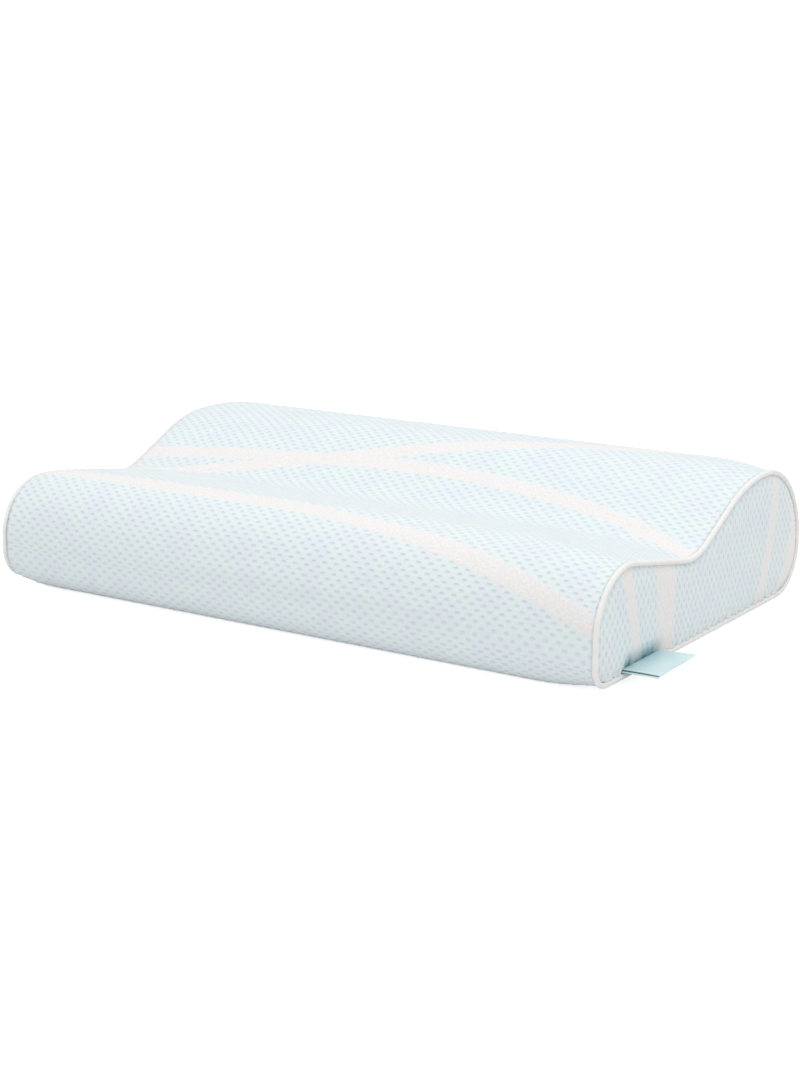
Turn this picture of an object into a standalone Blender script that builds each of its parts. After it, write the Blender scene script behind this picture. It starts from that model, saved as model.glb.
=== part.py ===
"""A contour pillow for the neck: knitted cover over its filling, piped end seams, a folded ribbon tab.

Metres, +Z up. The origin is the middle of the flat underside. +X runs along the pillow to the end
that carries the tab, and the low front lobe faces -Y.
"""

import collections
import math

import bmesh
import bpy
import numpy as np

# Driving dimensions of the whole pillow
SEAM_SPACING = 0.500
GAP = 0.0003
SMOOTH_ANGLE = math.radians(40)

# Outline of an end seam: a polygon in Y and Z with rounded corners, in order round the pillow.
# left_dz and left_dr are how much higher and rounder the corner is at the -X end, where the filling
# sits a little flatter.
Corner = collections.namedtuple("Corner", "y z radius steps left_dz left_dr")
OUTLINE = {
    "front_foot": Corner(y=-0.1605, z=0.0000, radius=0.014, steps=6, left_dz=0.0, left_dr=0.010),
    "front_brow": Corner(y=-0.1605, z=0.0820, radius=0.042, steps=12, left_dz=0.0, left_dr=0.0),
    "neck_hollow": Corner(y=-0.0185, z=0.0550, radius=0.053, steps=6, left_dz=0.0035, left_dr=0.0),
    "head_rise": Corner(y=0.0600, z=0.0955, radius=0.125, steps=6, left_dz=-0.003, left_dr=-0.015),
    "back_brow": Corner(y=0.1530, z=0.0955, radius=0.060, steps=12, left_dz=-0.003, left_dr=0.0),
    "back_foot": Corner(y=0.1530, z=0.0000, radius=0.033, steps=8, left_dz=0.0, left_dr=0.0),
}

# Crown: how far the filled body swells past the end outline, and where it draws in to the seams
CROWN_TOP = 0.0075
CROWN_BOTTOM = 0.0063
CROWN_BACK = 0.0080
CROWN_FULL_X = 0.190
CROWN_POWER = 2.7
BODY_STATIONS = (0.0, 0.095, 0.190, 0.205, 0.216, 0.225, 0.232, 0.238, 0.243)

# Piping in the end seams
PIPING_DIAMETER = 0.0048

# End panels: knit over the slightly domed ends of the filling
PANEL_THICKNESS = 0.0022
DOME_RISE = 0.0020
DOME_REACH = 0.0103
DOME_ROWS = 4

# Ribbon tab, folded once
TAB_WIDTH = 0.052
TAB_REACH = 0.027
TAB_THICKNESS = 0.0010
TAB_LAYER_PITCH = 0.0015
TAB_MIDDLE_Y = -0.097
TAB_SKEW = 0.0015
TAB_LIFT_ANGLE = math.radians(1.5)
TAB_RUN_STEPS = 6
TAB_FOLD_STEPS = 6

# Finishes: linear RGB and roughness
ICE_BLUE = (0.72, 0.83, 0.86)
OFF_WHITE = (0.86, 0.85, 0.82)
PALE_TURQUOISE = (0.55, 0.80, 0.83)
KNIT_ROUGHNESS = 0.85
TAPE_ROUGHNESS = 0.70
SATIN_ROUGHNESS = 0.50

# Sizes that follow from the ones above
SEAM_X = SEAM_SPACING / 2
PIPING_RADIUS = PIPING_DIAMETER / 2
BODY_END_X = SEAM_X - PIPING_RADIUS - GAP
PANEL_INNER_X = BODY_END_X + GAP
PANEL_INSET = PIPING_RADIUS + GAP


def clear_scene():
    for obj in list(bpy.data.objects):
        bpy.data.objects.remove(obj, do_unlink=True)


def fabric(name, color, roughness):
    """A plain cloth finish; color is linear RGB."""
    material = bpy.data.materials.new(name)
    material.use_nodes = True
    shader = material.node_tree.nodes["Principled BSDF"]
    shader.inputs["Base Color"].default_value = (*color, 1.0)
    shader.inputs["Roughness"].default_value = roughness
    shader.inputs["Metallic"].default_value = 0.0
    return material


def left_of(direction):
    return np.array([-direction[1], direction[0]])


def turned(direction, angle):
    c, s = math.cos(angle), math.sin(angle)
    return np.array([c * direction[0] - s * direction[1], s * direction[0] + c * direction[1]])


def outline_at(x):
    """The rounded outline at station x: its points and outward normals, in Y and Z."""
    left_share = (SEAM_X - x) / SEAM_SPACING
    corners = list(OUTLINE.values())
    places = [np.array([c.y, c.z + c.left_dz * left_share]) for c in corners]
    points, normals = [], []
    for i, corner in enumerate(corners):
        before, here, after = places[i - 1], places[i], places[(i + 1) % len(places)]
        arriving = (here - before) / np.linalg.norm(here - before)
        leaving = (after - here) / np.linalg.norm(after - here)
        turn = math.atan2(float(left_of(arriving) @ leaving), float(arriving @ leaving))
        side = -math.copysign(1.0, turn)
        radius = corner.radius + corner.left_dr * left_share
        start = here - arriving * radius * math.tan(abs(turn) / 2)
        centre = start - side * radius * left_of(arriving)
        for step in range(corner.steps + 1):
            normal = left_of(turned(arriving, turn * step / corner.steps))
            points.append(centre + side * radius * normal)
            normals.append(normal)
    return np.array(points), np.array(normals)


def crown_share(x):
    """1 along the middle of the pillow, falling to 0 where the cover draws in to an end seam."""
    past = np.clip((abs(x) - CROWN_FULL_X) / (SEAM_X - CROWN_FULL_X), 0, 1)
    return 1 - past**CROWN_POWER


def ring_at(x, outline_x, inset=0.0, crown=0.0):
    """One closed ring of points at x, on the outline of station outline_x moved in and swollen out."""
    points, normals = outline_at(outline_x)
    across, up = normals[:, 0], normals[:, 1]
    swell = (
        CROWN_TOP * np.maximum(up, 0) ** 2
        + CROWN_BOTTOM * np.maximum(-up, 0) ** 2
        + CROWN_BACK * np.maximum(across, 0) ** 2
    )
    moved = points + normals * (swell * crown - inset)[:, None]
    return np.column_stack([np.full(len(moved), x), moved[:, 0], moved[:, 1] + CROWN_BOTTOM])


def dome_rise(inset):
    """How far the end of the filling domes out at this distance inside the seam."""
    share = (inset - PANEL_INSET) / DOME_REACH
    return DOME_RISE * (1 - (1 - share) ** 2)


def dome_rings(side, face_x):
    """Rings over the domed end of the filling, from the panel's edge inwards."""
    insets = np.linspace(PANEL_INSET, PANEL_INSET + DOME_REACH, DOME_ROWS)
    return [ring_at(side * (face_x + dome_rise(inset)), side * SEAM_X, inset=inset) for inset in insets]


def add_object(name, data, material):
    data.materials.append(material)
    obj = bpy.data.objects.new(name, data)
    bpy.context.scene.collection.objects.link(obj)
    return obj


def skin(name, rings, material):
    """A closed mesh through a row of rings, which all have the same number of points."""
    bm = bmesh.new()
    rows = [[bm.verts.new(point) for point in ring] for ring in rings]
    count = len(rows[0])
    for row, following in zip(rows, rows[1:]):
        for i in range(count):
            j = (i + 1) % count
            bm.faces.new((row[i], row[j], following[j], following[i]))
    bm.faces.new(rows[0])
    bm.faces.new(rows[-1])
    bmesh.ops.recalc_face_normals(bm, faces=bm.faces)
    mesh = bpy.data.meshes.new(name)
    bm.to_mesh(mesh)
    bm.free()
    mesh.shade_smooth()
    mesh.set_sharp_from_angle(angle=SMOOTH_ANGLE)
    return add_object(name, mesh, material)


def make_body(material):
    """The wrap over its filling: crowned in the middle, drawn in at both ends, with domed end faces."""
    stations = [-x for x in reversed(BODY_STATIONS[1:])] + list(BODY_STATIONS)
    stations = [-BODY_END_X, *stations, BODY_END_X]
    rings = [ring_at(x, x, crown=crown_share(x)) for x in stations]
    left_end = dome_rings(-1, BODY_END_X)
    right_end = dome_rings(1, BODY_END_X)
    return skin("pillow_body", [*reversed(left_end), *rings, *right_end], material)


def make_end_panel(name, side, material):
    """A sheet on the domed end of the filling, cut to fit inside the piping."""
    inner = dome_rings(side, PANEL_INNER_X)
    outer = dome_rings(side, PANEL_INNER_X + PANEL_THICKNESS)
    return skin(name, [*reversed(inner), *outer], material)


def make_piping(name, side, material):
    """Covered cord all round one end seam."""
    points = ring_at(side * SEAM_X, side * SEAM_X)
    curve = bpy.data.curves.new(name, "CURVE")
    curve.dimensions = "3D"
    curve.bevel_depth = PIPING_RADIUS
    curve.bevel_resolution = 2
    spline = curve.splines.new("POLY")
    spline.points.add(len(points) - 1)
    for target, point in zip(spline.points, points):
        target.co = (*point, 1.0)
    spline.use_cyclic_u = True
    spline.use_smooth = True
    return add_object(name, curve, material)


def ribbon_middle():
    """The folded ribbon's middle line: X, Z, the normal in X and Z, and the shift along Y."""
    radius = TAB_LAYER_PITCH / 2
    straight = TAB_REACH - radius - TAB_THICKNESS / 2
    upper = [(straight * i / TAB_RUN_STEPS, radius, 0.0, 1.0) for i in range(TAB_RUN_STEPS)]
    fold = []
    for i in range(TAB_FOLD_STEPS + 1):
        angle = math.pi * i / TAB_FOLD_STEPS
        across, up = math.sin(angle), math.cos(angle)
        fold.append((straight + radius * across, radius * up, across, up))
    lower = [(x, -radius, 0.0, -1.0) for x, _, _, _ in reversed(upper)]
    return [(*row, -TAB_SKEW * (1 - row[3]) / 2) for row in [*upper, *fold, *lower]]


def make_side_tab(material):
    """A blank ribbon folded once, its two cut ends held in the lower seam of the right end."""
    middle = ribbon_middle()
    half = TAB_THICKNESS / 2
    rings = []
    for y in (-TAB_WIDTH / 2, TAB_WIDTH / 2):
        outside = [(x + nx * half, y + shift, z + nz * half) for x, z, nx, nz, shift in middle]
        inside = [(x - nx * half, y + shift, z - nz * half) for x, z, nx, nz, shift in middle]
        rings.append([*outside, *reversed(inside)])
    tab = skin("side_tab", rings, material)
    tab_height = TAB_THICKNESS + TAB_LAYER_PITCH
    root_x = PANEL_INNER_X + PANEL_THICKNESS + dome_rise(PANEL_INSET + tab_height) + GAP
    root_z = CROWN_BOTTOM + PANEL_INSET + tab_height / 2
    tab.location = (root_x, TAB_MIDDLE_Y, root_z)
    tab.rotation_euler = (0.0, -TAB_LIFT_ANGLE, 0.0)
    return tab


clear_scene()
make_body(fabric("wrap_knit", ICE_BLUE, KNIT_ROUGHNESS))
for side_name, side_sign in (("right", 1), ("left", -1)):
    end_knit = fabric(f"end_knit_{side_name}", ICE_BLUE, KNIT_ROUGHNESS)
    make_end_panel(f"end_panel_{side_name}", side_sign, end_knit)
    piping_cloth = fabric(f"piping_cloth_{side_name}", OFF_WHITE, TAPE_ROUGHNESS)
    make_piping(f"piping_{side_name}", side_sign, piping_cloth)
make_side_tab(fabric("tab_ribbon", PALE_TURQUOISE, SATIN_ROUGHNESS))
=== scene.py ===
# %% [markdown]
# # A contour pillow for the neck
#
# The pillow is a block of foam with a low front lobe, a hollow for the neck and a higher lobe for the
# head. A dimpled knit cover is wrapped round it, an end panel closes each end, a piped seam joins them,
# and a folded ribbon tab sits in the lower seam of one end.
#
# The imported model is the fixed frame: it gives each piece its place and size in metres. Every cell after
# it makes one piece or one finish that takes the place of a plain solid.

# %% Load the frame
import math
from collections import namedtuple

import bpy
import numpy as np
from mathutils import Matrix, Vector


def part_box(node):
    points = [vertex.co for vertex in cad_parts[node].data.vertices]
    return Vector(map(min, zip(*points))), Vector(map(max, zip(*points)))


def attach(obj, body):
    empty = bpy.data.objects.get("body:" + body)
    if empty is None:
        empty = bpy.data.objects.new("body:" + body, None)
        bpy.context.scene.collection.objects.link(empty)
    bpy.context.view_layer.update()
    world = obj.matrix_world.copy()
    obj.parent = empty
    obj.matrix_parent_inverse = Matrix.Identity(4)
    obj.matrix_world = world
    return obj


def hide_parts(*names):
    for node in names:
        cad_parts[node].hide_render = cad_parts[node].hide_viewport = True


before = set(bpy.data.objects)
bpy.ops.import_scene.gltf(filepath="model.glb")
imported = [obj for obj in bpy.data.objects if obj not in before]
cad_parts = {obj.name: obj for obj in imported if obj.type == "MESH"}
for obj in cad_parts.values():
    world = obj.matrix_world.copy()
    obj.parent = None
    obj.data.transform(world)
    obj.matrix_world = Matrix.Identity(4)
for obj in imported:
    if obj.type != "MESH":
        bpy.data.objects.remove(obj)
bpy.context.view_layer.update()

# %% [markdown]
# ## The end outline
#
# Both end seams follow one S-shaped outline. A maker would cut it from a card, and it can be drawn with
# straight lines and arcs: a polygon with six corners, each rounded by its own radius. That is exact and
# short, and a spline through traced points would be neither. The left end is a little flatter than the
# right one, as foam is never cut or filled quite evenly: left_dz and left_dr say how much higher and how
# much rounder each corner is there.

# %% The outline and its corners
Corner = namedtuple("Corner", "y z radius left_dz left_dr")
OUTLINE = (
    Corner(y=-0.1605, z=0.0000, radius=0.014, left_dz=0.0, left_dr=0.010),
    Corner(y=-0.1605, z=0.0820, radius=0.042, left_dz=0.0, left_dr=0.0),
    Corner(y=-0.0185, z=0.0550, radius=0.053, left_dz=0.0035, left_dr=0.0),
    Corner(y=0.0600, z=0.0955, radius=0.125, left_dz=-0.001, left_dr=-0.015),
    Corner(y=0.1530, z=0.0955, radius=0.060, left_dz=-0.001, left_dr=0.0),
    Corner(y=0.1530, z=0.0000, radius=0.033, left_dz=0.0, left_dr=0.0),
)
SEAM_SPACING = 0.500
SEAM_X = SEAM_SPACING / 2
STEPS_PER_STRETCH = 24


def left_of(direction):
    return np.array([-direction[1], direction[0]])


def turned(direction, angle):
    c, s = math.cos(angle), math.sin(angle)
    return np.array([c * direction[0] - s * direction[1], s * direction[0] + c * direction[1]])


def rounded_outline(x):
    """Points and outward normals, in Y and Z, round the outline of station x: arcs with lines between."""
    left_share = (SEAM_X - x) / SEAM_SPACING
    places = [np.array([c.y, c.z + c.left_dz * left_share]) for c in OUTLINE]
    arcs = []
    for i, corner in enumerate(OUTLINE):
        before, here, after = places[i - 1], places[i], places[(i + 1) % len(places)]
        arriving = (here - before) / np.linalg.norm(here - before)
        leaving = (after - here) / np.linalg.norm(after - here)
        turn = math.atan2(float(left_of(arriving) @ leaving), float(arriving @ leaving))
        side = -math.copysign(1.0, turn)
        radius = corner.radius + corner.left_dr * left_share
        start = here - arriving * radius * math.tan(abs(turn) / 2)
        centre = start - side * radius * left_of(arriving)
        normals = [left_of(turned(arriving, turn * t)) for t in np.linspace(0, 1, STEPS_PER_STRETCH + 1)]
        arcs.append([(centre + side * radius * normal, normal) for normal in normals])
    points, normals = [], []
    for arc, following in zip(arcs, arcs[1:] + arcs[:1]):
        (end, normal), (restart, _) = arc[-1], following[0]
        line = [(end + (restart - end) * t, normal) for t in np.linspace(0, 1, STEPS_PER_STRETCH + 1)]
        for point, outward in arc[:-1] + line[:-1]:
            points.append(point)
            normals.append(outward)
    return np.array(points), np.array(normals)


print("points round one section:", len(rounded_outline(0.0)[0]))

# %% [markdown]
# ## The crown
#
# Filled cloth swells between its seams. The wrap is drawn in to the outline at each end and stands a few
# millimetres proud of it in the middle, most on top and at the back. Swelling the outline along its own
# normals, by an amount that fades towards the ends, gives that crown and keeps the neck hollow open. The
# left end stays full nearly up to its seam, so from the front the cover hides most of its piping.

# %% The crowned surface
CROWN_TOP = 0.0075
CROWN_BOTTOM = 0.0063
CROWN_BACK = 0.0080
CROWN_FULL_X = 0.190
CROWN_POWER = 2.7
LEFT_CROWN_POWER = 6.0
PIPING_RADIUS = 0.0020
SEAM_GAP = 0.0001
WRAP_END_X = SEAM_X - PIPING_RADIUS - SEAM_GAP


def crown_share(x):
    """1 along the middle of the pillow, falling to 0 where the cover draws in to an end seam."""
    past = np.clip((abs(x) - CROWN_FULL_X) / (SEAM_X - CROWN_FULL_X), 0, 1)
    power = LEFT_CROWN_POWER if x < 0 else CROWN_POWER
    return 1 - past**power


def section(x, crown=1.0, inset=0.0):
    """Y and Z of one section of the pillow, and its outward normals."""
    points, normals = rounded_outline(x)
    across, up = normals[:, 0], normals[:, 1]
    swell = (
        CROWN_TOP * np.maximum(up, 0) ** 2
        + CROWN_BOTTOM * np.maximum(-up, 0) ** 2
        + CROWN_BACK * np.maximum(across, 0) ** 2
    )
    moved = points + normals * (swell * crown * crown_share(x) - inset)[:, None]
    return moved + np.array([0.0, CROWN_BOTTOM]), normals


def running_length(points):
    """Distance from the first point to each point of a closed line, with the whole length last."""
    steps = np.linalg.norm(np.diff(np.vstack([points, points[:1]]), axis=0), axis=1)
    return np.concatenate([[0.0], np.cumsum(steps)])


MIDDLE_LENGTH = running_length(section(0.0)[0])
GIRTH = MIDDLE_LENGTH[-1]


def resampled(values, girth_places):
    """Values given at a section's own points, read at these places round the girth instead."""
    closed = np.vstack([values, values[:1]])
    return np.column_stack([np.interp(girth_places, MIDDLE_LENGTH, column) for column in closed.T])


print(f"girth of the middle section: {GIRTH * 1000:.0f} mm")

# %% [markdown]
# ## The knit's lattice
#
# The cover is a jacquard knit with a staggered lattice of small dimples. On the wrap a lattice cell is
# about 9.5 mm along the pillow and 7.4 mm round it, with a dimple at its corners and its middle. Knit is
# never cut quite square, so its rows lean a little: by a whole number of cells in one turn round the
# pillow, which lets the pattern close on itself.

# %% Cells of the lattice
CELLS_ALONG = 52
CELLS_ROUND = 104
LEANING_CELLS = 6
CELL_ALONG = 2 * WRAP_END_X / CELLS_ALONG
CELL_ROUND = GIRTH / CELLS_ROUND
LEAN = LEANING_CELLS * CELL_ALONG / GIRTH
print(f"wrap lattice: {CELL_ALONG * 1000:.2f} by {CELL_ROUND * 1000:.2f} mm")

# %% [markdown]
# ## Shader maths written as sums
#
# A finish is easier to read as a formula than as a web of nodes. This small class wraps one socket, and
# each operator on it adds the Math node that does the sum. The helpers below it take either a wrapped
# socket or a numpy array, so that the same pattern formula can dent a mesh and colour a material.

# %% A socket that can be added and multiplied
class Wire:
    """One socket in a material's node tree, used in sums as if it were a number."""

    def __init__(self, tree, socket=None):
        self.tree = tree
        self.socket = socket

    def node(self, kind, settings=None, inputs=None, output=0):
        """Adds a node: first its settings, then the values or wires of its sockets."""
        made = self.tree.nodes.new(kind)
        for name, value in (settings or {}).items():
            setattr(made, name, value)
        for name, value in (inputs or {}).items():
            if isinstance(value, Wire):
                self.tree.links.new(value.socket, made.inputs[name])
            else:
                made.inputs[name].default_value = value
        return Wire(self.tree, made.outputs[output])

    def math(self, operation, *values):
        return self.node("ShaderNodeMath", {"operation": operation}, dict(enumerate(values)))

    def __add__(self, other):
        return self.math("ADD", self, other)

    def __sub__(self, other):
        return self.math("SUBTRACT", self, other)

    def __rsub__(self, other):
        return self.math("SUBTRACT", other, self)

    def __mul__(self, other):
        return self.math("MULTIPLY", self, other)

    __radd__ = __add__
    __rmul__ = __mul__


def cosine(value):
    return value.math("COSINE", value) if isinstance(value, Wire) else np.cos(value)


def size_of(value):
    return value.math("ABSOLUTE", value) if isinstance(value, Wire) else np.abs(value)


def at_least(value, floor):
    return value.math("MAXIMUM", value, floor) if isinstance(value, Wire) else np.maximum(value, floor)


def ramp(value, low, high):
    """0 below low, 1 above high, with an easy slope between."""
    if isinstance(value, Wire):
        settings = {"interpolation_type": "SMOOTHSTEP"}
        inputs = {"Value": value, "From Min": low, "From Max": high}
        return value.node("ShaderNodeMapRange", settings, inputs)
    share = np.clip((value - low) / (high - low), 0, 1)
    return share * share * (3 - 2 * share)


print("a ramp from 0 to 1, halfway and past its end:", ramp(0.5, 0, 1), ramp(2.0, 0, 1))

# %% [markdown]
# ## Dimples as a formula
#
# The product of two cosines has its peaks at exactly the dimples' places, so one short formula serves
# both the mesh's relief and the shader's colour. The stitches gather along the rows, so for the colour a
# share of a plain wave across the rows is added, which draws each round peak out into a short dash.

# %% The lattice and its dashes
DASH_SHARE = 0.35


def lattice(along, across, cell_along, cell_across, lean=0.0):
    """1 in the middle of each dimple of the staggered lattice, -1 in the middle of each puff."""
    column = (along - across * lean) * (2 * math.pi / cell_along)
    return cosine(column) * cosine(across * (2 * math.pi / cell_across))


def dashes(along, across, cell_along, cell_across, lean=0.0):
    """The lattice with its peaks drawn out along the rows, as the stitches gather."""
    row = cosine(across * (4 * math.pi / cell_across))
    return lattice(along, across, cell_along, cell_across, lean) + row * DASH_SHARE


print("lattice at a dimple and at a puff:", lattice(0.0, 0.0, 1, 1), lattice(0.5, 0.0, 1, 1))

# %% [markdown]
# ## The off-white bands
#
# Plain off-white bands sweep along the wrap. Each one is a straight run that eases into a steady bend,
# so a row of five numbers draws it: where the bend starts, its place round the girth there, its slope,
# its bend, and its half width. The end panels have upright bands of the same kind.

# %% Bands on the wrap and on the end panels
Band = namedtuple("Band", "start place slope bend half_width widening")
WRAP_BANDS = (
    Band(start=-0.050, place=0.2626, slope=0.098, bend=-1.70, half_width=0.0072, widening=0.0),
    Band(start=-0.100, place=0.2540, slope=0.357, bend=0.0, half_width=0.0070, widening=0.010),
    Band(start=-0.060, place=0.1190, slope=0.0, bend=-1.29, half_width=0.0080, widening=0.0),
)
END_BANDS = (
    Band(start=0.045, place=-0.114, slope=-0.30, bend=0.0, half_width=0.0065, widening=0.0),
    Band(start=0.040, place=-0.0665, slope=0.0, bend=0.0, half_width=0.0125, widening=0.05),
    Band(start=0.010, place=0.085, slope=0.400, bend=-3.0, half_width=0.0058, widening=0.0),
    Band(start=0.000, place=0.135, slope=0.780, bend=-9.6, half_width=0.0270, widening=0.0),
)
BAND_EDGE = 0.0020


def band_mask(along, across, bands, wobble=0.0):
    """1 inside the bands, 0 outside, with edges a couple of stitches wide."""
    mask = 0.0
    for band in bands:
        run = along - band.start
        bent = at_least(run, 0.0)
        centre = run * band.slope + bent * bent * (band.bend / 2) + band.place
        inside = bent * band.widening + band.half_width - size_of(across - centre) + wobble
        mask = at_least(ramp(inside, -BAND_EDGE, BAND_EDGE), mask)
    return mask


print("bands:", len(WRAP_BANDS), "on the wrap,", len(END_BANDS), "on each end panel")

# %% [markdown]
# ## Grids of cloth
#
# Every piece here is a sheet or a tube, so one helper turns a grid of places into quads. It also stores
# each corner's place on the flat cloth, in metres, as a UV map. The weave then stays true to size and
# follows the cloth round every bend.

# %% A quad mesh through a grid
CLOTH_MAP = "cloth"


def cloth_mesh(name, places, cloth, join_rows=False, join_columns=False, cap_ends=False):
    """Quads through places[row, column]; cloth has one more row or column where the grid is joined."""
    rows, columns = places.shape[:2]
    index = np.arange(rows * columns).reshape(rows, columns)
    if join_rows:
        index = np.vstack([index, index[:1]])
    if join_columns:
        index = np.column_stack([index, index[:, 0]])
    corners = (np.s_[:-1, :-1], np.s_[1:, :-1], np.s_[1:, 1:], np.s_[:-1, 1:])
    faces = np.stack([index[c] for c in corners], axis=-1).reshape(-1, 4).tolist()
    flat = np.stack([cloth[c] for c in corners], axis=2).reshape(-1, 2).tolist()
    if cap_ends:
        ring = slice(0, -1) if join_columns else slice(None)
        for row, order in ((0, 1), (-1, -1)):
            faces.append(index[row, ring][::order].tolist())
            flat.extend(cloth[row, ring][::order].tolist())
    mesh = bpy.data.meshes.new(name)
    mesh.from_pydata(places.reshape(-1, 3).tolist(), [], faces)
    layer = mesh.uv_layers.new(name=CLOTH_MAP)
    layer.data.foreach_set("uv", np.array(flat, dtype=np.float32).ravel())
    mesh.shade_smooth()
    return mesh


print("each mesh keeps its flat cloth in the UV map:", CLOTH_MAP)

# %% [markdown]
# ## Adding a piece
#
# Each piece gets one finish and a name that says what it is.

# %% Add a piece to the scene
def add_piece(name, mesh, material):
    mesh.materials.append(material)
    piece = bpy.data.objects.new(name, mesh)
    bpy.context.scene.collection.objects.link(piece)
    print(f"{name}: {len(mesh.polygons)} faces")
    return piece


# %% [markdown]
# ## Filling the cover
#
# A real cover is pulled on a little tight, and the foam pushes it out until the cloth takes the strain.
# Blender's cloth does the same: a coarse wrap, one point for each lattice cell, starts a few millimetres
# too small, its end rings are pinned as the seams hold them, and pressure swells it for twenty frames.
# Only the difference from the drawn surface is kept, and it is capped, because foam holds the neck
# hollow open where a balloon would flatten it.

# %% Swell the coarse wrap with pressure
FRAMES = 20
PRESSURE = 4.0
STARTS_SMALLER = 0.003
CLOTH_QUALITY = 6
CLOTH_STIFFNESS = 25.0
CLOTH_BENDING = 1.5
SWELL_CAP = 0.0012


def wrap_grid(stations, girth_places, smaller=0.0):
    """Places of the wrap at these stations along X and these places round the girth, and its normals."""
    places, outwards = [], []
    for x in stations:
        points, normals = section(x, inset=smaller * crown_share(x))
        ring = resampled(points, girth_places)
        outward = resampled(normals, girth_places)
        places.append(np.column_stack([np.full(len(ring), x), ring]))
        outwards.append(np.column_stack([np.zeros(len(ring)), outward]))
    return np.array(places), np.array(outwards)


def swollen(places):
    """The grid after the cloth has been under pressure, as an array of the same shape."""
    rows, columns = places.shape[:2]
    blank = np.zeros((rows, columns + 1, 2))
    mesh = cloth_mesh("swelling", places, blank, join_columns=True, cap_ends=True)
    cover = bpy.data.objects.new("swelling", mesh)
    bpy.context.scene.collection.objects.link(cover)
    seams = cover.vertex_groups.new(name="seams")
    ends = [*range(columns), *range((rows - 1) * columns, rows * columns)]
    seams.add(ends, 1.0, "REPLACE")
    cloth = cover.modifiers.new("cloth", "CLOTH")
    cloth.settings.quality = CLOTH_QUALITY
    cloth.settings.tension_stiffness = CLOTH_STIFFNESS
    cloth.settings.compression_stiffness = CLOTH_STIFFNESS
    cloth.settings.bending_stiffness = CLOTH_BENDING
    cloth.settings.use_pressure = True
    cloth.settings.uniform_pressure_force = PRESSURE
    cloth.settings.effector_weights.gravity = 0.0
    cloth.settings.vertex_group_mass = "seams"
    scene = bpy.context.scene
    for number in range(1, FRAMES + 1):
        scene.frame_set(number)
    settled = cover.evaluated_get(bpy.context.evaluated_depsgraph_get()).to_mesh()
    found = np.empty(rows * columns * 3)
    settled.vertices.foreach_get("co", found)
    scene.frame_set(1)
    bpy.data.objects.remove(cover, do_unlink=True)
    return found.reshape(rows, columns, 3)


coarse_x = np.linspace(-WRAP_END_X, WRAP_END_X, CELLS_ALONG + 1)
coarse_girth = np.arange(CELLS_ROUND) * CELL_ROUND
drawn, drawn_outwards = wrap_grid(coarse_x, coarse_girth)
started, _ = wrap_grid(coarse_x, coarse_girth, smaller=STARTS_SMALLER)
swell = ((swollen(started) - drawn) * drawn_outwards).sum(axis=2)
print(f"swell before the cap: {swell.min() * 1000:.2f} to {swell.max() * 1000:.2f} mm")
swell = SWELL_CAP * np.tanh(swell / SWELL_CAP)

# %% [markdown]
# ## The wrap
#
# The shown wrap has four points to a lattice cell each way, so each dimple is real relief in the mesh.
# The swell from the coarse wrap is read between its points with a cubic, which keeps the surface smooth.
# The dimples fade out at the seams, are shallower in the off-white bands, and press flat underneath.

# %% Make the wrap's mesh
POINTS_PER_CELL = 4
DIMPLE_DEPTH = 0.00055
BAND_RELIEF = 0.35
SEAM_FADE = 0.007


def finer(field, axis, closed):
    """A field with more points between its own along one axis, on a smooth cubic through them."""
    field = np.moveaxis(field, axis, 0)
    before = np.roll(field, 1, axis=0) if closed else np.concatenate([field[:1], field[:-1]])
    after = np.roll(field, -1, axis=0) if closed else np.concatenate([field[1:], field[-1:]])
    beyond = np.roll(field, -2, axis=0) if closed else np.concatenate([field[2:], field[-1:], field[-1:]])
    parts = []
    for t in np.arange(POINTS_PER_CELL) / POINTS_PER_CELL:
        parts.append(
            (-0.5 * t + t**2 - 0.5 * t**3) * before
            + (1 - 2.5 * t**2 + 1.5 * t**3) * field
            + (0.5 * t + 2 * t**2 - 1.5 * t**3) * after
            + (-0.5 * t**2 + 0.5 * t**3) * beyond
        )
    fine = np.stack(parts, axis=1).reshape(-1, *field.shape[1:])
    if not closed:
        fine = fine[: (len(field) - 1) * POINTS_PER_CELL + 1]
    return np.moveaxis(fine, 0, axis)


def wrap_mesh():
    columns = CELLS_ROUND * POINTS_PER_CELL
    x = np.linspace(-WRAP_END_X, WRAP_END_X, CELLS_ALONG * POINTS_PER_CELL + 1)
    girth = np.arange(columns + 1) * GIRTH / columns
    places, outwards = wrap_grid(x, girth[:-1])
    along, round_ = np.meshgrid(x, girth, indexing="ij")
    band = band_mask(along, round_, WRAP_BANDS)
    fade = ramp(WRAP_END_X - np.abs(along), 0.0, SEAM_FADE)
    depth = DIMPLE_DEPTH * (1 - (1 - BAND_RELIEF) * band) * fade
    dents = depth * (lattice(along, round_, CELL_ALONG, CELL_ROUND, LEAN) + 1) / 2
    moves = finer(finer(swell, 0, False), 1, True) * fade[:, :-1] - dents[:, :-1]
    places = places + outwards * moves[:, :, None]
    places[:, :, 2] = np.maximum(places[:, :, 2], 0.0)
    cloth = np.stack([along, round_], axis=2)
    return cloth_mesh("wrap", places, cloth, join_columns=True, cap_ends=True)


wrap_shape = wrap_mesh()
print("points in the wrap's mesh:", len(wrap_shape.vertices))
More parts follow.
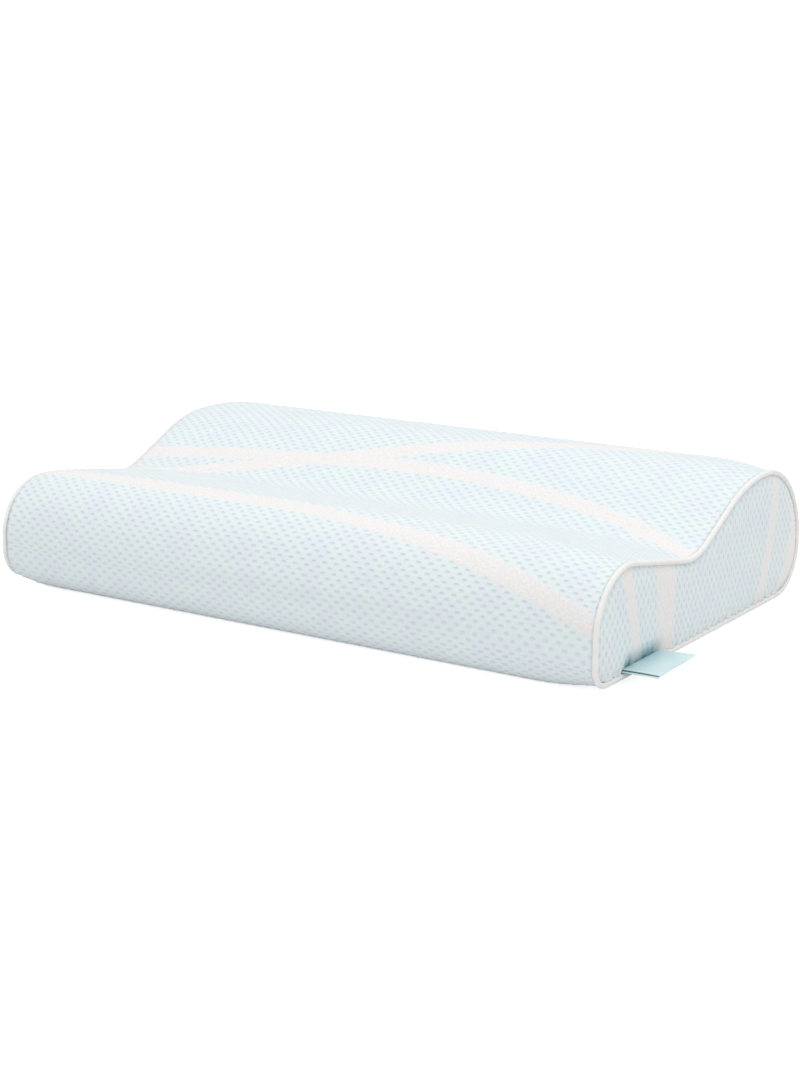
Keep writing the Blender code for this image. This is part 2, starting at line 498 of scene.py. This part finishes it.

# %% [markdown]
# ## The knit's finish
#
# Up close the knit is soft and matt. Its ground is a pale ice blue, and each dimple is painted a little
# darker, in grey teal: partly the knit's own tone, partly painted shade in its pit. The bands are
# off-white
# with a finer grain. The colour is mixed from masks: the lattice, the bands and noise of three sizes:
# clouds a couple of centimetres across that drift between blue and lilac, fuzz that makes edges wander,
# and a fine grain. The loops and the pit of each dimple are added as bump, because they are too small
# for mesh. Heights and sizes are in metres.

# %% Colours and sizes of the knit
ICE_BLUE = (0.73, 0.81, 0.815, 1.0)
ICE_LILAC = (0.725, 0.785, 0.83, 1.0)
# Each dimple's grey teal is partly the knit's own tone and partly painted shade in its pit.
DIMPLE_TEAL_AND_SHADE = (0.54, 0.645, 0.665, 1.0)
PALE_LOOPS = (0.82, 0.87, 0.88, 1.0)
# Painted shade by the tab: a dark teal painted shadow, with a painted reflection of the turquoise tab in
# it.
PAINTED_TAB_SHADE = (0.13, 0.33, 0.37, 1.0)
BAND_WHITE = (0.83, 0.815, 0.80, 1.0)
BAND_SHADE = (0.785, 0.765, 0.755, 1.0)
KNIT_ROUGHNESS = 0.86
KNIT_SHEEN = 0.5
FUZZ_SIZE = 0.0035
GRAIN_SIZE = 0.0019
GRAIN_DETAIL = 3.0
CLOUD_SIZE = 0.020
EDGE_WANDER = 0.005
STITCH_WANDER = 0.6
DASH_PEAK = 1.35
DASH_TONE_AND_SHADE = 0.5
PALE_SHARE = 0.25
LOOP = 0.0011
LOOP_HEIGHT = 0.00003
GRAIN_HEIGHT = 0.00018
BAND_GRAIN_HEIGHT = 0.00015
PIT_START = 0.1
PIT_DEPTH = 0.0005
BAND_FILLS_PITS = 0.85
# How much less of the painted tab shade the off-white bands show.
BAND_HIDES_TAB_SHADE = 0.35
KNIT_BUMP = 0.8
SHEEN_ROUGHNESS = 0.4
SHINE = 0.25
print("finest loops:", LOOP * 1000, "mm apart")

# %% [markdown]
# ## Helpers for finishes
#
# Every finish here is cloth, so one helper makes a matt shader with the soft sheen of fibres, and two
# more mix colours and read noise at a size in metres.

# %% Make a finish, mix two colours, read noise
def new_material(name, roughness, sheen):
    material = bpy.data.materials.new(name)
    material.use_nodes = True
    shader = material.node_tree.nodes["Principled BSDF"]
    shader.inputs["Roughness"].default_value = roughness
    shader.inputs["Sheen Weight"].default_value = sheen
    shader.inputs["Sheen Roughness"].default_value = SHEEN_ROUGHNESS
    shader.inputs["Specular IOR Level"].default_value = SHINE
    return material, shader, Wire(material.node_tree)


def plug(wire, shader, name):
    wire.tree.links.new(wire.socket, shader.inputs[name])


def mixed(wire, factor, first, second):
    """A colour between two others."""
    settings = {"data_type": "RGBA", "clamp_factor": True}
    return wire.node("ShaderNodeMix", settings, {0: factor, 6: first, 7: second}, output=2)


def noise(wire, place, size, detail=2.0):
    """Soft noise from 0 to 1, with lumps about this many metres across."""
    inputs = {"Vector": place, "Scale": 1 / size, "Detail": detail}
    return wire.node("ShaderNodeTexNoise", {"noise_dimensions": "3D"}, inputs)


def repeating(wire_or_place, spacing):
    """A wave from -1 to 1 that repeats at this spacing."""
    return cosine(wire_or_place * (2 * math.pi / spacing))


print("a wave at its start and half a spacing on:", repeating(0.0, LOOP), repeating(LOOP / 2, LOOP))

# %% [markdown]
# ## The cover, finished
#
# The knit is mixed from its masks and the wrap gets it. The wrap stands in for the solid body, which is
# hidden.

# %% Knit material and the wrap
def knit_material(name, bands, cell_along, cell_across, lean=0.0, tab_shade_mask=None):
    """The dimpled knit. Its cloth map is read as along and across for the bands."""
    material, shader, wire = new_material(name, roughness=KNIT_ROUGHNESS, sheen=KNIT_SHEEN)
    cloth = wire.node("ShaderNodeUVMap", {"uv_map": CLOTH_MAP})
    along = wire.node("ShaderNodeSeparateXYZ", None, {0: cloth}, output=0)
    across = wire.node("ShaderNodeSeparateXYZ", None, {0: cloth}, output=1)
    fuzz = noise(wire, cloth, FUZZ_SIZE) - 0.5
    band = band_mask(along, across, bands, wobble=fuzz * EDGE_WANDER)
    stitches = dashes(along, across, cell_along, cell_across, lean)
    dimple_tone_and_shade_share = ramp(stitches + fuzz * STITCH_WANDER, 0.0, DASH_PEAK)
    grain = noise(wire, cloth, GRAIN_SIZE, GRAIN_DETAIL)
    clouds = ramp(noise(wire, cloth, CLOUD_SIZE), 0.38, 0.62)
    ground = mixed(wire, clouds, ICE_BLUE, ICE_LILAC)
    ground = mixed(wire, ramp(grain, 0.35, 0.75) * PALE_SHARE, ground, PALE_LOOPS)
    # Each dimple is painted darker: partly the knit's own tone, partly painted shade in its pit.
    blue = mixed(wire, dimple_tone_and_shade_share * DASH_TONE_AND_SHADE, ground, DIMPLE_TEAL_AND_SHADE)
    white = mixed(wire, ramp(grain, 0.40, 0.62), BAND_SHADE, BAND_WHITE)
    cover = mixed(wire, band, blue, white)
    # Painted shadow and painted reflection of the tab, laid on the right panel's knit beside the tab.
    if tab_shade_mask:
        painted_tab_shade_share = tab_shade_mask(along, across) * (1 - band * BAND_HIDES_TAB_SHADE)
        cover = mixed(wire, painted_tab_shade_share, cover, PAINTED_TAB_SHADE)
    plug(cover, shader, "Base Color")
    loops = repeating(along, LOOP) * repeating(across, LOOP)
    pits = ramp(stitches, PIT_START, DASH_PEAK) * (1 - band * BAND_FILLS_PITS)
    grain_height = grain * (band * BAND_GRAIN_HEIGHT + GRAIN_HEIGHT)
    height = loops * LOOP_HEIGHT + grain_height - pits * PIT_DEPTH
    inputs = {"Strength": KNIT_BUMP, "Distance": 1.0, "Height": height}
    plug(wire.node("ShaderNodeBump", None, inputs), shader, "Normal")
    return material


wrap_knit = knit_material("wrap_knit", WRAP_BANDS, CELL_ALONG, CELL_ROUND, lean=LEAN)
wrap = add_piece("wrap", wrap_shape, wrap_knit)
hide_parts("pillow_body")
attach(wrap, "root")

# %% [markdown]
# ## The end panels
#
# Each end is closed by a panel of the same knit, cut to the S outline and turned a quarter turn, so its
# dimples run upright. It comes out from under the piping and domes slightly over the foam. A grid of
# upright ribs between the lower and the upper edge follows the outline exactly, and the distance from
# the seam sets how far each point stands out. Where the ribbon tab is sewn in, the right panel is pressed
# a couple of millimetres inwards, and its knit there is painted a dark teal: a painted shadow with a
# painted reflection of the turquoise tab in it. One mask serves this relief and this painted shade.

# %% Make an end panel
PANEL_RIM_INSET = 0.0020
PANEL_RIM_X = 0.2484
PANEL_FACE_X = 0.2498
PANEL_TUCK = 0.0016
PANEL_DOME = 0.0020
PANEL_DOME_REACH = 0.012
PANEL_RIBS = 400
PANEL_ROWS = 84
PANEL_DIMPLE = 0.0006
PANEL_SHEET = 0.0005
END_CELL_UP = 0.0096
END_CELL_ACROSS = 0.0071
END_LEAN = -0.12
TAB_WIDTH = 0.052
TAB_MIDDLE_Y = -0.097
# The pressed-in place behind the tab; the same mask also sets where painted shade lies on the knit.
PINCH_AND_SHADE_Z = 0.0100
PINCH_DEPTH = 0.0022
PINCH_AND_SHADE_FADE = 0.014
PINCH_FOOT = 0.004
PINCH_AND_SHADE_INSIDE = 0.006
PINCH_AND_SHADE_OUTSIDE = 0.004


def by_the_tab(up, across):
    """1 where the end knit is pressed in behind the tab and carries painted shade, fading out above it and
    at its sides.
    """
    off_middle = size_of(across - TAB_MIDDLE_Y)
    sideways = ramp(off_middle, TAB_WIDTH / 2 - PINCH_AND_SHADE_INSIDE, TAB_WIDTH / 2 + PINCH_AND_SHADE_OUTSIDE)
    return (1 - ramp(up, PINCH_AND_SHADE_Z, PINCH_AND_SHADE_Z + PINCH_AND_SHADE_FADE)) * (1 - sideways)


def panel_edges(x):
    """The panel's rim as heights over Y: its lower and its upper edge."""
    rim, _ = section(x, crown=0.0, inset=PANEL_RIM_INSET)
    front, back = rim[:, 0].argmin(), rim[:, 0].argmax()
    count = len(rim)
    twice = np.vstack([rim, rim])
    upper = twice[front : back + 1] if front < back else twice[front : back + count + 1]
    lower = twice[back : front + count + 1] if front < back else twice[back : front + 1]
    return lower[::-1], upper


def end_panel_mesh(name, side):
    lower, upper = panel_edges(side * SEAM_X)
    shares = (1 - np.cos(np.linspace(0, math.pi, PANEL_RIBS + 1))) / 2
    y = lower[0, 0] + (lower[-1, 0] - lower[0, 0]) * shares
    bottom = np.interp(y, lower[:, 0], lower[:, 1])
    top = np.interp(y, upper[:, 0], upper[:, 1])
    heights = (1 - np.cos(np.linspace(0, math.pi, PANEL_ROWS + 1))) / 2
    z = bottom[:, None] + (top - bottom)[:, None] * heights[None, :]
    y = np.repeat(y[:, None], PANEL_ROWS + 1, axis=1)
    rim, _ = section(side * SEAM_X, crown=0.0, inset=PANEL_RIM_INSET)
    depth = np.full(y.shape, np.inf)
    for edge_y, edge_z in rim:
        depth = np.minimum(depth, np.hypot(y - edge_y, z - edge_z))
    tuck = 1 - np.exp(-depth / PANEL_TUCK)
    dome = 1 - (1 - np.clip(depth / PANEL_DOME_REACH, 0, 1)) ** 2
    band = band_mask(z, y, END_BANDS)
    dents = PANEL_DIMPLE * (lattice(z, y, END_CELL_UP, END_CELL_ACROSS, END_LEAN) + 1) / 2
    dents = dents * (1 - (1 - BAND_RELIEF) * band) * ramp(depth, 0.0, SEAM_FADE)
    if side > 0:
        dents = dents + PINCH_DEPTH * by_the_tab(z, y) * ramp(z, PINCH_AND_SHADE_Z - PINCH_FOOT, PINCH_AND_SHADE_Z)
    x = PANEL_RIM_X + (PANEL_FACE_X - PANEL_RIM_X) * tuck + PANEL_DOME * dome - dents
    places = np.stack([side * x, y, z], axis=2)
    cloth = np.stack([z, y], axis=2)
    if side > 0:
        places, cloth = places[::-1], cloth[::-1]
    return cloth_mesh(name, places, cloth)


print(f"end lattice: {END_CELL_UP * 1000:.1f} mm up by {END_CELL_ACROSS * 1000:.1f} mm across")

# %% [markdown]
# ## Both panels
#
# Each panel gets a thin sheet's thickness from a Solidify and stands in for its plain solid, which is
# hidden.

# %% Add both end panels
end_knit = {
    -1: knit_material("end_knit_left", END_BANDS, END_CELL_UP, END_CELL_ACROSS, lean=END_LEAN),
    1: knit_material("end_knit_right", END_BANDS, END_CELL_UP, END_CELL_ACROSS, END_LEAN, by_the_tab),
}
for side_name, side in (("right", 1), ("left", -1)):
    panel_name = f"panel_{side_name}"
    panel = add_piece(panel_name, end_panel_mesh(panel_name, side), end_knit[side])
    solidify = panel.modifiers.new("sheet", "SOLIDIFY")
    solidify.thickness = PANEL_SHEET
    solidify.offset = -1.0
    rim_outline, _ = section(side * SEAM_X, crown=0.0, inset=PANEL_RIM_INSET)
    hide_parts(f"end_panel_{side_name}")
    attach(panel, "root")

# %% [markdown]
# ## The piping
#
# Piping is a soft cord inside a folded strip of fine woven cloth. It follows the end outline, and where
# the strip bends round a corner its cloth ruckles a little. A tube swept round the outline, with a small
# unevenness in its radius, gives that, and its weave runs on the bias as the strip was cut. At the left
# end the piping is tucked about a millimetre in and out, as a seam is that the cover bulges over.

# %% Make the piping
PIPING_SIDES = 20
PIPING_STEP = 0.0016
PUCKER = 0.00005
PUCKER_LENGTH = 0.0095
PUCKER_BEATS = 7
PUCKER_DRIFT = 1.7
LEFT_TUCK = 0.0012
TAPE_WHITE = (0.83, 0.825, 0.81, 1.0)
TAPE_SHADE = (0.70, 0.70, 0.69, 1.0)
TAPE_THREAD = 0.0007
TAPE_LUMP = 0.006
TAPE_THREAD_HEIGHT = 0.00003
TAPE_LUMP_HEIGHT = 0.0001


def piping_mesh(name, side):
    tuck = LEFT_TUCK if side < 0 else 0.0
    points, normals = section(side * SEAM_X, crown=0.0, inset=tuck)
    lengths = running_length(points)
    count = round(lengths[-1] / PIPING_STEP)
    at = np.arange(count + 1) * lengths[-1] / count
    line = np.column_stack([np.interp(at, lengths, c) for c in np.vstack([points, points[:1]]).T])
    outward = np.column_stack([np.interp(at, lengths, c) for c in np.vstack([normals, normals[:1]]).T])
    outward /= np.linalg.norm(outward, axis=1)[:, None]
    angle = np.linspace(0, 2 * math.pi, PIPING_SIDES + 1)
    waves = np.round(lengths[-1] / PUCKER_LENGTH)
    phase = 2 * math.pi * waves * at / lengths[-1]
    drift = PUCKER_DRIFT * np.cos(2 * math.pi * PUCKER_BEATS * at / lengths[-1])
    pucker = PUCKER * np.cos(phase[:, None] + drift[:, None] + angle[None, :])
    radius = PIPING_RADIUS - PUCKER + pucker
    out, over = radius * np.cos(angle), radius * np.sin(angle)
    x = side * (SEAM_X + tuck) + over
    y = line[:, None, 0] + outward[:, None, 0] * out
    z = line[:, None, 1] + outward[:, None, 1] * out
    places = np.stack([x, y, z], axis=2)[:-1, :-1]
    cloth = np.stack(np.meshgrid(at, angle * PIPING_RADIUS, indexing="ij"), axis=2)
    return cloth_mesh(name, places, cloth, join_rows=True, join_columns=True)


def tape_material():
    material, shader, wire = new_material("piping_tape", roughness=0.6, sheen=0.15)
    cloth = wire.node("ShaderNodeUVMap", {"uv_map": CLOTH_MAP})
    along = wire.node("ShaderNodeSeparateXYZ", None, {0: cloth}, output=0)
    round_ = wire.node("ShaderNodeSeparateXYZ", None, {0: cloth}, output=1)
    bias, cross = along + round_, along - round_
    weave = repeating(bias, TAPE_THREAD) * repeating(cross, TAPE_THREAD)
    uneven = ramp(noise(wire, cloth, TAPE_LUMP), 0.35, 0.75)
    plug(mixed(wire, uneven * 0.35, TAPE_WHITE, TAPE_SHADE), shader, "Base Color")
    height = weave * TAPE_THREAD_HEIGHT + uneven * TAPE_LUMP_HEIGHT
    inputs = {"Strength": 0.5, "Distance": 1.0, "Height": height}
    plug(wire.node("ShaderNodeBump", None, inputs), shader, "Normal")
    return material


piping_tape = tape_material()
for side_name, side in (("right", 1), ("left", -1)):
    piping_name = f"edge_piping_{side_name}"
    piping = add_piece(piping_name, piping_mesh(piping_name, side), piping_tape)
    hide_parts(f"piping_{side_name}")
    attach(piping, "root")

# %% [markdown]
# ## The ribbon tab
#
# A short length of satin ribbon is folded once, and its two cut ends are caught in the lower seam of the
# right end. It lies nearly level over the piping, its lower layer a little askew under the upper one.
# The ribbon's middle line is a run, half a turn and a run back, and its thickness is a Solidify. The
# outer corners curl a little, one up and one down, and the middle sags by half a millimetre.

# %% Shape of the tab
TAB_REACH = 0.0275
TAB_PITCH = 0.0013
TAB_SKEW = 0.0022
TAB_SHEET = 0.0004
TAB_RISE = 0.0010
TAB_RUNS = 24
TAB_TURNS = 10
TAB_ACROSS = 40
TAB_CURL = 0.0009
TAB_SAG = 0.0006
TAB_STRAIGHTENS = 0.4
TAB_SEAM_GAP = 0.0005
tab_low, tab_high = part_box("side_tab")
tab_middle_z = (tab_low[2] + tab_high[2]) / 2
TAB_ROOT = Vector((tab_low[0] - PINCH_DEPTH + TAB_SEAM_GAP, TAB_MIDDLE_Y, tab_middle_z - TAB_RISE / 2))


def tab_mesh():
    radius = TAB_PITCH / 2
    straight = TAB_REACH - radius
    runs = np.linspace(0, 1, TAB_RUNS)
    turn = np.linspace(0, math.pi, TAB_TURNS + 2)[1:-1]
    reach = np.concatenate([runs * straight, straight + radius * np.sin(turn), runs[::-1] * straight])
    upper, lower = np.full(TAB_RUNS, radius), np.full(TAB_RUNS, -radius)
    lift = np.concatenate([upper, radius * np.cos(turn), lower])
    length = np.concatenate([[0.0], np.cumsum(np.hypot(np.diff(reach), np.diff(lift)))])
    across = np.linspace(-0.5, 0.5, TAB_ACROSS + 1)
    share = reach / TAB_REACH
    askew = -TAB_SKEW * (radius - lift) / TAB_PITCH * (1 - TAB_STRAIGHTENS * share)
    x = TAB_ROOT.x + np.repeat(reach[:, None], len(across), axis=1)
    y = TAB_ROOT.y + across[None, :] * TAB_WIDTH + askew[:, None]
    bow = TAB_CURL * np.outer(share**2, (2 * np.abs(across)) ** 3) * np.sign(across)[None, :]
    sag = TAB_SAG * np.outer(np.sin(math.pi * share), np.cos(math.pi * across))
    z = TAB_ROOT.z + lift[:, None] + TAB_RISE * share[:, None] + bow - sag
    cloth = np.stack(np.meshgrid(length, across * TAB_WIDTH, indexing="ij"), axis=2)
    places = np.stack([x, y, z], axis=2)
    return cloth_mesh("ribbon_tab", places[:, ::-1], cloth[:, ::-1]), length[-1]


tab_piece_mesh, ribbon_length = tab_mesh()
print(f"ribbon: {TAB_WIDTH * 1000:.0f} by {ribbon_length * 1000:.1f} mm before it is folded")

# %% [markdown]
# ## The satin
#
# Satin shows fine ribs along the ribbon, a firmer selvedge at both edges and soft streaks. Its colour is
# painted palest round the fold, a painted highlight where it catches the light, and deeper towards the
# seam on both layers, as painted shade.

# %% Satin material and the tab
TAB_TURQUOISE = (0.47, 0.67, 0.70, 1.0)
TAB_PALE = (0.66, 0.81, 0.83, 1.0)
RIB_SPACING = 0.0006
RIB_HEIGHT = 0.00002
CROSS_THREAD = 0.0005
CROSS_THREAD_HEIGHT = 0.00001
SELVEDGE_WIDTH = 0.0022
SELVEDGE_EDGE = 0.0012
SELVEDGE_HEIGHT = 0.00006
STREAK_SIZE = 0.012
# The painted highlight rises from the seam to PALE_FROM, holds round the fold to PALE_TO, and gives way to
# painted shade again by DEEP_AGAIN.
PALE_FROM = 0.022
PALE_TO = 0.030
DEEP_AGAIN = 0.052


def ribbon_material():
    material, shader, wire = new_material("tab_satin", roughness=0.42, sheen=0.1)
    cloth = wire.node("ShaderNodeUVMap", {"uv_map": CLOTH_MAP})
    along = wire.node("ShaderNodeSeparateXYZ", None, {0: cloth}, output=0)
    across = wire.node("ShaderNodeSeparateXYZ", None, {0: cloth}, output=1)
    ribs, threads = repeating(across, RIB_SPACING), repeating(along, CROSS_THREAD)
    half = TAB_WIDTH / 2
    selvedge = ramp(size_of(across), half - SELVEDGE_WIDTH, half - SELVEDGE_EDGE)
    streak = ramp(noise(wire, cloth, STREAK_SIZE), 0.3, 0.7)
    # Painted highlight round the fold, painted shade towards the seam on both layers.
    outwards = ramp(along, 0.0, PALE_FROM) * (1 - ramp(along, PALE_TO, DEEP_AGAIN))
    satin = mixed(wire, streak * 0.3 + outwards * 0.6, TAB_TURQUOISE, TAB_PALE)
    plug(mixed(wire, selvedge * 0.5, satin, TAB_PALE), shader, "Base Color")
    height = ribs * RIB_HEIGHT + threads * CROSS_THREAD_HEIGHT + selvedge * SELVEDGE_HEIGHT
    inputs = {"Strength": 0.6, "Distance": 1.0, "Height": height}
    plug(wire.node("ShaderNodeBump", None, inputs), shader, "Normal")
    return material


tab = add_piece("ribbon_tab", tab_piece_mesh, ribbon_material())
thickness = tab.modifiers.new("sheet", "SOLIDIFY")
thickness.thickness = TAB_SHEET
thickness.offset = 0.0
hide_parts("side_tab")
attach(tab, "root")

# %% [markdown]
# ## The studio
#
# The pillow lies on a plain white floor in soft, even studio light, so its shape is read from gentle
# shading. A pale world gives the fill, and one wide soft light overhead brightens what faces up. The
# camera stands so low that the floor fills the whole picture, so the floor has to be very large. It also
# glows, but only for the camera: that makes it plain white in the picture, like a cut-out, while the
# light that it throws back on the pillow stays that of a white floor.

# %% Floor
FLOOR_SIZE = 2000.0
FLOOR_WHITE = (0.85, 0.85, 0.85, 1.0)
FLOOR_GLOW = 0.8
FLOOR_ROUGHNESS = 0.9


def make_floor():
    mesh = bpy.data.meshes.new("floor")
    half = FLOOR_SIZE / 2
    corners = [(-half, -half, 0), (half, -half, 0), (half, half, 0), (-half, half, 0)]
    mesh.from_pydata(corners, [], [(0, 1, 2, 3)])
    material, shader, wire = new_material("floor_white", roughness=FLOOR_ROUGHNESS, sheen=0.0)
    shader.inputs["Base Color"].default_value = FLOOR_WHITE
    shader.inputs["Emission Strength"].default_value = 1.0
    seen = wire.node("ShaderNodeLightPath", output="Is Camera Ray")
    plug(seen * FLOOR_GLOW, shader, "Emission Color")
    shader.inputs["Specular IOR Level"].default_value = 0.0
    floor = add_piece("floor", mesh, material)


make_floor()

# %% [markdown]
# ## Light and camera
#
# The camera's place, its two angles and its lens were worked out from the end seam and the level base in
# the photograph, which is why they aren't round numbers. The colours are shown plainly, with no film look.

# %% World, light and camera
SKY_WHITE = (1.0, 1.0, 1.0, 1.0)
SKY_STRENGTH = 0.84
OVERHEAD_PLACE = (0.3, -0.25, 2.0)
OVERHEAD_AIM = (0.0, 0.0, 0.0)
OVERHEAD_SIZE = 1.6
OVERHEAD_POWER = 16.0
CAMERA_PLACE = (0.8853, -1.3588, 0.4343)
CAMERA_AZIMUTH = math.radians(33.14)
CAMERA_ELEVATION = math.radians(13.86)
CAMERA_LENS = 73.75


def make_light(name, place, target, size, power):
    data = bpy.data.lights.new(name, "AREA")
    data.shape = "SQUARE"
    data.size = size
    data.energy = power
    lamp = bpy.data.objects.new(name, data)
    lamp.location = place
    lamp.rotation_euler = (Vector(target) - Vector(place)).to_track_quat("-Z", "Y").to_euler()
    bpy.context.scene.collection.objects.link(lamp)


def make_camera():
    data = bpy.data.cameras.new("camera")
    data.lens = CAMERA_LENS
    camera = bpy.data.objects.new("camera", data)
    camera.location = CAMERA_PLACE
    camera.rotation_euler = (math.pi / 2 - CAMERA_ELEVATION, 0.0, CAMERA_AZIMUTH)
    bpy.context.scene.collection.objects.link(camera)
    bpy.context.scene.camera = camera


world = bpy.data.worlds.new("studio")
world.use_nodes = True
sky = world.node_tree.nodes["Background"]
sky.inputs["Color"].default_value = SKY_WHITE
sky.inputs["Strength"].default_value = SKY_STRENGTH
bpy.context.scene.world = world
bpy.context.scene.view_settings.view_transform = "Standard"
make_light("overhead", OVERHEAD_PLACE, OVERHEAD_AIM, OVERHEAD_SIZE, OVERHEAD_POWER)
make_camera()
print("camera at", CAMERA_PLACE, "with a lens of", CAMERA_LENS, "mm")
